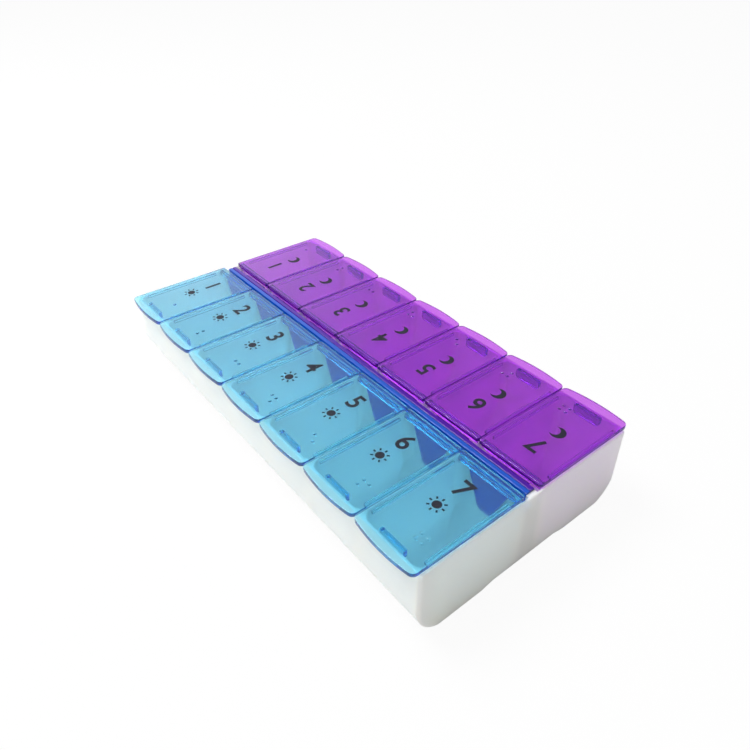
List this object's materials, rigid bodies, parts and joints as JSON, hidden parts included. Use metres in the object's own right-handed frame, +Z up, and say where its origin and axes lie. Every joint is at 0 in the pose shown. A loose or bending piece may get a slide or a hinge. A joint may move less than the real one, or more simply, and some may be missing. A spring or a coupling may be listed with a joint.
{
  "type": "weekly pill box",
  "caption": "Weekly pill box: a white tray of rounded compartments in a morning and an evening row, under translucent blue and violet lids hinged along the middle.",
  "frame": {"origin": "middle of the footprint, on the table plane", "axes": "+X along the rows from compartment one to compartment seven, -Y towards the morning row, +Z up"},
  "size_m": [0.1774, 0.0932, 0.0301],
  "materials": {
    "tray_white": "satin moulded, opaque",
    "morning_blue": "polished, translucent",
    "evening_violet": "polished, translucent"
  },
  "bodies": {
    "base": {"tray": "tray_white", "morning_strip": "morning_blue", "evening_strip": "evening_violet"},
    "morning_lid_1": {"morning_lid_1": "morning_blue"},
    "morning_lid_2": {"morning_lid_2": "morning_blue"},
    "morning_lid_3": {"morning_lid_3": "morning_blue"},
    "morning_lid_4": {"morning_lid_4": "morning_blue"},
    "morning_lid_5": {"morning_lid_5": "morning_blue"},
    "morning_lid_6": {"morning_lid_6": "morning_blue"},
    "morning_lid_7": {"morning_lid_7": "morning_blue"},
    "evening_lid_1": {"evening_lid_1": "evening_violet"},
    "evening_lid_2": {"evening_lid_2": "evening_violet"},
    "evening_lid_3": {"evening_lid_3": "evening_violet"},
    "evening_lid_4": {"evening_lid_4": "evening_violet"},
    "evening_lid_5": {"evening_lid_5": "evening_violet"},
    "evening_lid_6": {"evening_lid_6": "evening_violet"},
    "evening_lid_7": {"evening_lid_7": "evening_violet"}
  },
  "joints": [
    {"name": "morning_hinge_1", "type": "hinge", "parent": "base", "child": "morning_lid_1", "pos_m": [-0.075, -0.0051, 0.0271], "axis": [-1, 0, 0], "range_deg": [0, 90]},
    {"name": "morning_hinge_2", "type": "hinge", "parent": "base", "child": "morning_lid_2", "pos_m": [-0.05, -0.0051, 0.0271], "axis": [-1, 0, 0], "range_deg": [0, 90]},
    {"name": "morning_hinge_3", "type": "hinge", "parent": "base", "child": "morning_lid_3", "pos_m": [-0.025, -0.0051, 0.0271], "axis": [-1, 0, 0], "range_deg": [0, 90]},
    {"name": "morning_hinge_4", "type": "hinge", "parent": "base", "child": "morning_lid_4", "pos_m": [0, -0.0051, 0.0271], "axis": [-1, 0, 0], "range_deg": [0, 90]},
    {"name": "morning_hinge_5", "type": "hinge", "parent": "base", "child": "morning_lid_5", "pos_m": [0.025, -0.0051, 0.0271], "axis": [-1, 0, 0], "range_deg": [0, 90]},
    {"name": "morning_hinge_6", "type": "hinge", "parent": "base", "child": "morning_lid_6", "pos_m": [0.05, -0.0051, 0.0271], "axis": [-1, 0, 0], "range_deg": [0, 90]},
    {"name": "morning_hinge_7", "type": "hinge", "parent": "base", "child": "morning_lid_7", "pos_m": [0.075, -0.0051, 0.0271], "axis": [-1, 0, 0], "range_deg": [0, 90]},
    {"name": "evening_hinge_1", "type": "hinge", "parent": "base", "child": "evening_lid_1", "pos_m": [-0.075, 0.0051, 0.0271], "axis": [1, 0, 0], "range_deg": [0, 90]},
    {"name": "evening_hinge_2", "type": "hinge", "parent": "base", "child": "evening_lid_2", "pos_m": [-0.05, 0.0051, 0.0271], "axis": [1, 0, 0], "range_deg": [0, 90]},
    {"name": "evening_hinge_3", "type": "hinge", "parent": "base", "child": "evening_lid_3", "pos_m": [-0.025, 0.0051, 0.0271], "axis": [1, 0, 0], "range_deg": [0, 90]},
    {"name": "evening_hinge_4", "type": "hinge", "parent": "base", "child": "evening_lid_4", "pos_m": [0, 0.0051, 0.0271], "axis": [1, 0, 0], "range_deg": [0, 90]},
    {"name": "evening_hinge_5", "type": "hinge", "parent": "base", "child": "evening_lid_5", "pos_m": [0.025, 0.0051, 0.0271], "axis": [1, 0, 0], "range_deg": [0, 90]},
    {"name": "evening_hinge_6", "type": "hinge", "parent": "base", "child": "evening_lid_6", "pos_m": [0.05, 0.0051, 0.0271], "axis": [1, 0, 0], "range_deg": [0, 90]},
    {"name": "evening_hinge_7", "type": "hinge", "parent": "base", "child": "evening_lid_7", "pos_m": [0.075, 0.0051, 0.0271], "axis": [1, 0, 0], "range_deg": [0, 90]}
  ]
}
